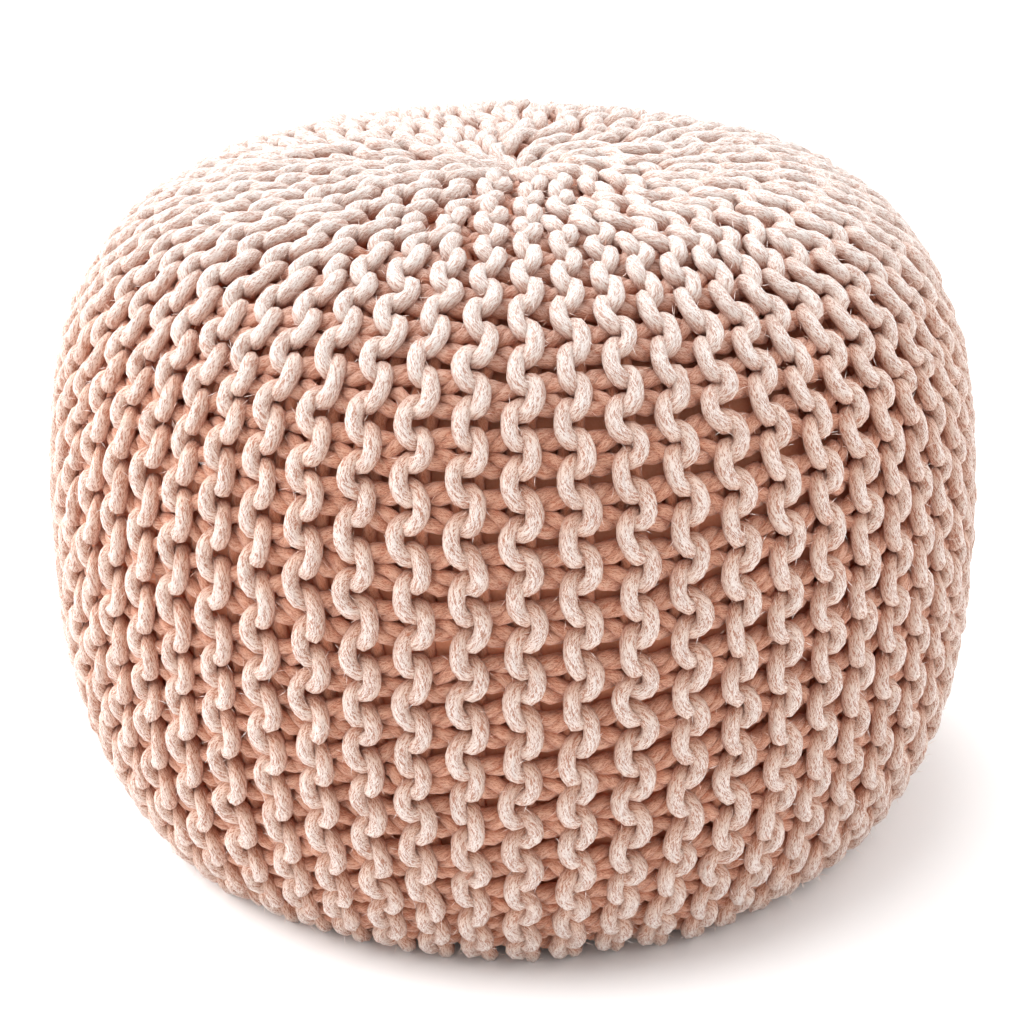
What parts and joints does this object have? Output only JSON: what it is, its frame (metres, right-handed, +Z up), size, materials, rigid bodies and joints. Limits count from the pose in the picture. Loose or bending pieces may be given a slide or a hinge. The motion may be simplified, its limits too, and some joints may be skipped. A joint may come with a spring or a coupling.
{
  "type": "knitted pouf",
  "caption": "Low round floor pouf in chunky garter-stitch cotton cord over a filled cloth casing, gathered at the crown and under the foot.",
  "frame": {"origin": "middle of the underside, on the surface that the pouf stands on", "axes": "+Z up through the crown's gather; the pouf is round, so +X and +Y are any two directions at right angles"},
  "size_m": [0.508, 0.508, 0.361],
  "materials": {
    "knit_yarn": "matte chunky cotton cord, pale dusty pink",
    "casing_cloth": "matte plain woven cotton, terracotta"
  },
  "bodies": {
    "root": {"knitted_cover": "knit_yarn", "inner_casing": "casing_cloth"}
  },
  "joints": []
}
